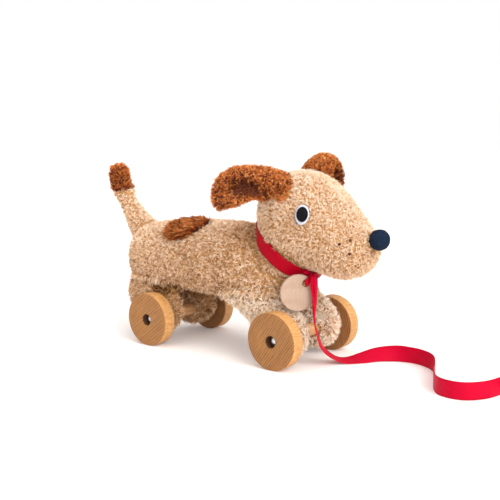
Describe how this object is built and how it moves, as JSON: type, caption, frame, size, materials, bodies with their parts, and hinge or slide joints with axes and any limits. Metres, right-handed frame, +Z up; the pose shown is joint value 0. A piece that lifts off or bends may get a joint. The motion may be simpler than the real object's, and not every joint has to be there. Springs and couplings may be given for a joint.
{
  "type": "pull-along toy",
  "caption": "Plush dog pull-along toy on wooden wheels with floppy ears, upright tail, ribbon collar, bare wooden tag and ribbon lead.",
  "frame": {"origin": "middle of the box round the toy without its lead, on the floor that the wheels stand on", "axes": "+X the way the dog looks and the toy is pulled, +Y to the dog's left, +Z up"},
  "size_m": [0.5118, 0.1848, 0.1793],
  "materials": {
    "cream_plush": "looped boucle plush, matt",
    "brown_plush": "long looped plush, matt",
    "navy_velour": "short velour pile, matt",
    "white_felt": "wool felt, matt",
    "black_thread": "satin stitch embroidery",
    "brown_thread": "embroidery knots",
    "red_ribbon": "woven satin ribbon",
    "beech": "oiled beech, straight grain, satin",
    "birch": "sanded plywood, satin",
    "steel": "polished domed steel",
    "nylon": "moulded, matt"
  },
  "bodies": {
    "dog": {"axle_dowel_front": "beech", "axle_dowel_rear": "beech", "axle_pin_front_left": "steel", "axle_pin_front_right": "steel", "axle_pin_rear_left": "steel", "axle_pin_rear_right": "steel", "back_patch": "brown_plush", "collar_ribbon": "red_ribbon", "eye_white_left": "white_felt", "eye_white_right": "white_felt", "head_plush": "cream_plush", "head_washer_front_left": "steel", "head_washer_front_right": "steel", "head_washer_rear_left": "steel", "head_washer_rear_right": "steel", "lead_coil": "red_ribbon", "lead_end_knot": "red_ribbon", "lead_ribbon": "red_ribbon", "leg_front_left": "cream_plush", "leg_front_right": "cream_plush", "leg_rear_left": "cream_plush", "leg_rear_right": "cream_plush", "nose": "navy_velour", "pupil_left": "black_thread", "pupil_right": "black_thread", "ribbon_knot": "red_ribbon", "spacer_washer_front_left": "nylon", "spacer_washer_front_right": "nylon", "spacer_washer_rear_left": "nylon", "spacer_washer_rear_right": "nylon", "tail_plush": "cream_plush", "tail_tip_plush": "brown_plush", "torso_plush": "cream_plush", "whisker_knot_left_1": "brown_thread", "whisker_knot_left_2": "brown_thread", "whisker_knot_left_3": "brown_thread", "whisker_knot_right_1": "brown_thread", "whisker_knot_right_2": "brown_thread", "whisker_knot_right_3": "brown_thread"},
    "wheel_front_right": {"wheel_front_right": "beech"},
    "wheel_front_left": {"wheel_front_left": "beech"},
    "wheel_rear_right": {"wheel_rear_right": "beech"},
    "wheel_rear_left": {"wheel_rear_left": "beech"},
    "ear_right": {"ear_right": "brown_plush"},
    "ear_left": {"ear_left": "brown_plush"},
    "tag_loop": {"tag_loop": "red_ribbon"},
    "name_tag": {"name_tag": "birch"}
  },
  "joints": [
    {"name": "wheel_front_right_roll", "type": "hinge", "parent": "dog", "child": "wheel_front_right", "pos_m": [0.07904, -0.04261, 0.02494], "axis": [0, 1, 0], "continuous": true},
    {"name": "wheel_front_left_roll", "type": "hinge", "parent": "dog", "child": "wheel_front_left", "pos_m": [0.07904, 0.04239, 0.02494], "axis": [0, 1, 0], "continuous": true},
    {"name": "wheel_rear_right_roll", "type": "hinge", "parent": "dog", "child": "wheel_rear_right", "pos_m": [-0.06996, -0.04261, 0.02494], "axis": [0, 1, 0], "continuous": true},
    {"name": "wheel_rear_left_roll", "type": "hinge", "parent": "dog", "child": "wheel_rear_left", "pos_m": [-0.06996, 0.04239, 0.02494], "axis": [0, 1, 0], "continuous": true},
    {"name": "ear_right_flop", "type": "hinge", "parent": "dog", "child": "ear_right", "pos_m": [0.07454, -0.01411, 0.155], "axis": [1, 0, 0], "range_deg": [-12, 12], "stiffness_Nm_per_rad": 0.2},
    {"name": "ear_left_flop", "type": "hinge", "parent": "dog", "child": "ear_left", "pos_m": [0.07454, 0.01389, 0.155], "axis": [1, 0, 0], "range_deg": [-12, 12], "stiffness_Nm_per_rad": 0.2},
    {"name": "tag_loop_sway", "type": "hinge", "parent": "dog", "child": "tag_loop", "pos_m": [0.09304, -0.01411, 0.0803], "axis": [0.8192, -0.5736, 0], "range_deg": [-8, 8]},
    {"name": "name_tag_swing", "type": "hinge", "parent": "tag_loop", "child": "name_tag", "pos_m": [0.09616, -0.02058, 0.0741], "axis": [0.8192, -0.5736, 0], "range_deg": [-15, 15]}
  ]
}
